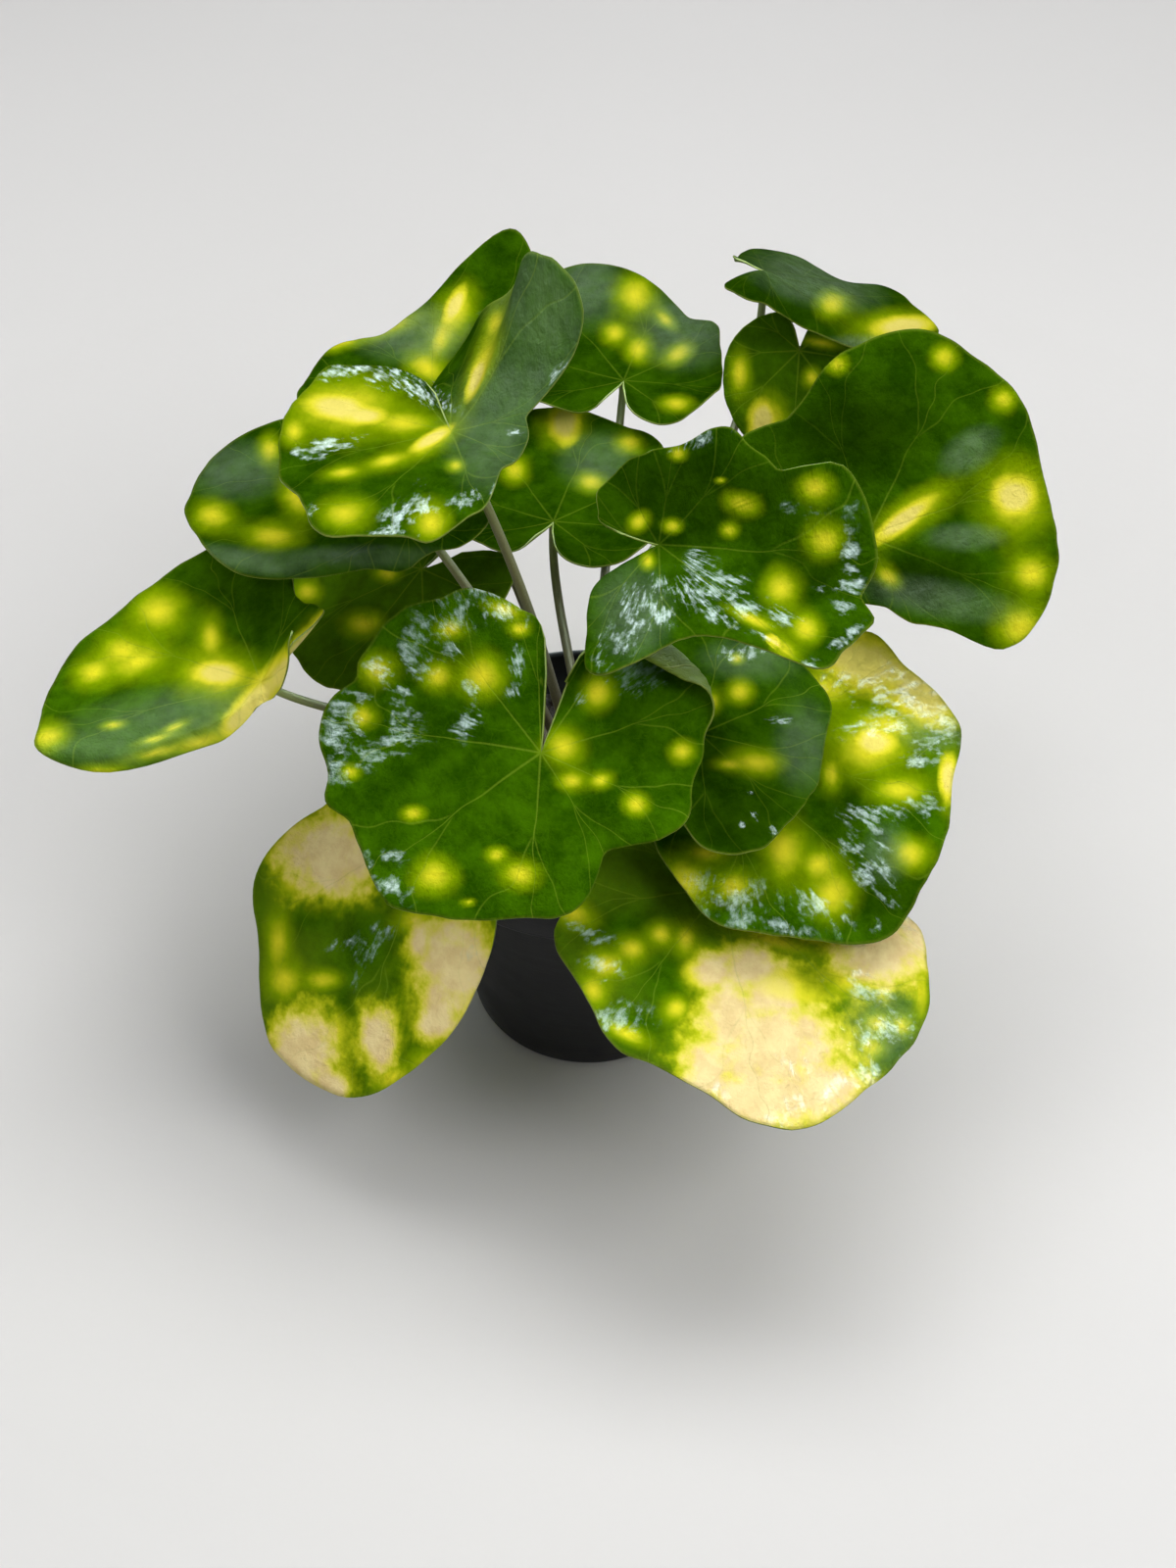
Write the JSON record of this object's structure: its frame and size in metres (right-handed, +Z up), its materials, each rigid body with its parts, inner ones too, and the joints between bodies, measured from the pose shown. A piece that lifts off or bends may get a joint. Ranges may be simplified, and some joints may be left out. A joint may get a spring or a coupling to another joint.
{
  "type": "potted leopard plant",
  "caption": "Potted leopard plant with round kidney-shaped leaves, dark glossy green with yellow and cream spots, each on its own stalk in a small black nursery pot.",
  "frame": {"origin": "centre of the pot's flat underside, on the ground", "axes": "+Z up along the pot's axis, -Y towards the side that the picture shows, +X to the right in it"},
  "size_m": [0.2789, 0.282, 0.239],
  "materials": {
    "pot_plastic": "matte",
    "potting_mix": "matte",
    "leaf_blade": "satin",
    "leaf_stalk": "satin"
  },
  "bodies": {
    "root": {"pot": "pot_plastic", "soil": "potting_mix", "front_blade": "leaf_blade", "crest_blade": "leaf_blade", "wing_blade": "leaf_blade", "curled_left_blade": "leaf_blade", "shade_left_blade": "leaf_blade", "low_left_blade": "leaf_blade", "low_front_blade": "leaf_blade", "low_right_blade": "leaf_blade", "small_right_blade": "leaf_blade", "right_blade": "leaf_blade", "far_right_blade": "leaf_blade", "folded_back_blade": "leaf_blade", "tucked_back_blade": "leaf_blade", "back_blade": "leaf_blade", "back_left_blade": "leaf_blade", "centre_back_blade": "leaf_blade", "front_stalk": "leaf_stalk", "crest_stalk": "leaf_stalk", "wing_stalk": "leaf_stalk", "curled_left_stalk": "leaf_stalk", "shade_left_stalk": "leaf_stalk", "low_left_stalk": "leaf_stalk", "low_front_stalk": "leaf_stalk", "low_right_stalk": "leaf_stalk", "small_right_stalk": "leaf_stalk", "right_stalk": "leaf_stalk", "far_right_stalk": "leaf_stalk", "folded_back_stalk": "leaf_stalk", "tucked_back_stalk": "leaf_stalk", "back_stalk": "leaf_stalk", "back_left_stalk": "leaf_stalk", "centre_back_stalk": "leaf_stalk"}
  },
  "joints": []
}
